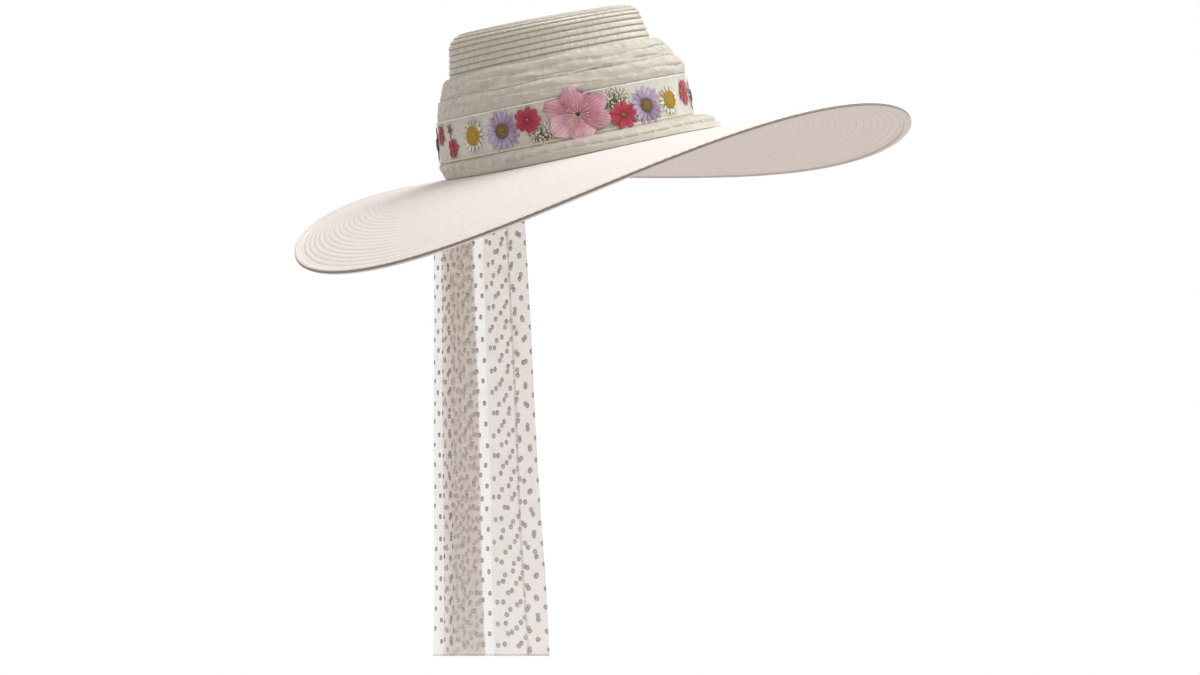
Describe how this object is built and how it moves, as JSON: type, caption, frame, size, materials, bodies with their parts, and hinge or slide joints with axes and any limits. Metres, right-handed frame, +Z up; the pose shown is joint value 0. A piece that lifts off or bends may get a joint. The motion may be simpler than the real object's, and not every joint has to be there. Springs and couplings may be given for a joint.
{
  "type": "bridal hat",
  "caption": "Wide saddle-brimmed straw hat, worn tilted, with a folded tulle wrap, a clear band of pressed flowers and a pleated tulle veil hanging behind the head.",
  "frame": {"origin": "middle of the oval head opening, on the plane where the crown meets the brim", "axes": "+Z up against gravity as the hat is worn; -Y to the hat's front; +X to the wearer's left; the hat tilts inside this frame and the veil hangs along -Z"},
  "size_m": [0.4656, 0.4736, 0.517],
  "materials": {
    "crown_straw": "sewn straw braid, satin",
    "brim_straw": "sewn straw braid, satin",
    "edge_braid": "doubled straw braid, satin",
    "wrap_tulle": "folded dotted tulle, matt",
    "clear_film": "clear glossy film",
    "header_tape": "woven tape, matt",
    "veil_tulle": "dotted tulle, sheer",
    "larkspur_petal": "pressed petal, matt",
    "verbena_petal": "pressed petal, matt",
    "aster_petal": "pressed petal, matt",
    "daisy_petal": "pressed petal, matt",
    "lace_bloom": "pressed blossom, matt",
    "sprig_leaf": "pressed leaf, matt"
  },
  "bodies": {
    "root": {"crown": "crown_straw", "brim": "brim_straw", "brim_edge": "edge_braid", "tulle_wrap": "wrap_tulle", "flower_band": "clear_film", "veil_header": "header_tape", "veil": "veil_tulle", "pink_larkspur_1": "larkspur_petal", "pink_larkspur_2": "larkspur_petal", "red_verbena_1": "verbena_petal", "red_verbena_2": "verbena_petal", "red_verbena_3": "verbena_petal", "red_verbena_4": "verbena_petal", "red_verbena_5": "verbena_petal", "red_verbena_6": "verbena_petal", "red_verbena_7": "verbena_petal", "red_verbena_8": "verbena_petal", "lavender_aster_1": "aster_petal", "lavender_aster_2": "aster_petal", "lavender_aster_3": "aster_petal", "lavender_aster_4": "aster_petal", "lavender_aster_5": "aster_petal", "white_daisy_1": "daisy_petal", "white_daisy_2": "daisy_petal", "white_daisy_3": "daisy_petal", "white_daisy_4": "daisy_petal", "lace_spray_1": "lace_bloom", "lace_spray_2": "lace_bloom", "lace_spray_3": "lace_bloom", "lace_spray_4": "lace_bloom", "lace_spray_5": "lace_bloom", "lace_spray_6": "lace_bloom", "green_sprig_1": "sprig_leaf"}
  },
  "joints": []
}
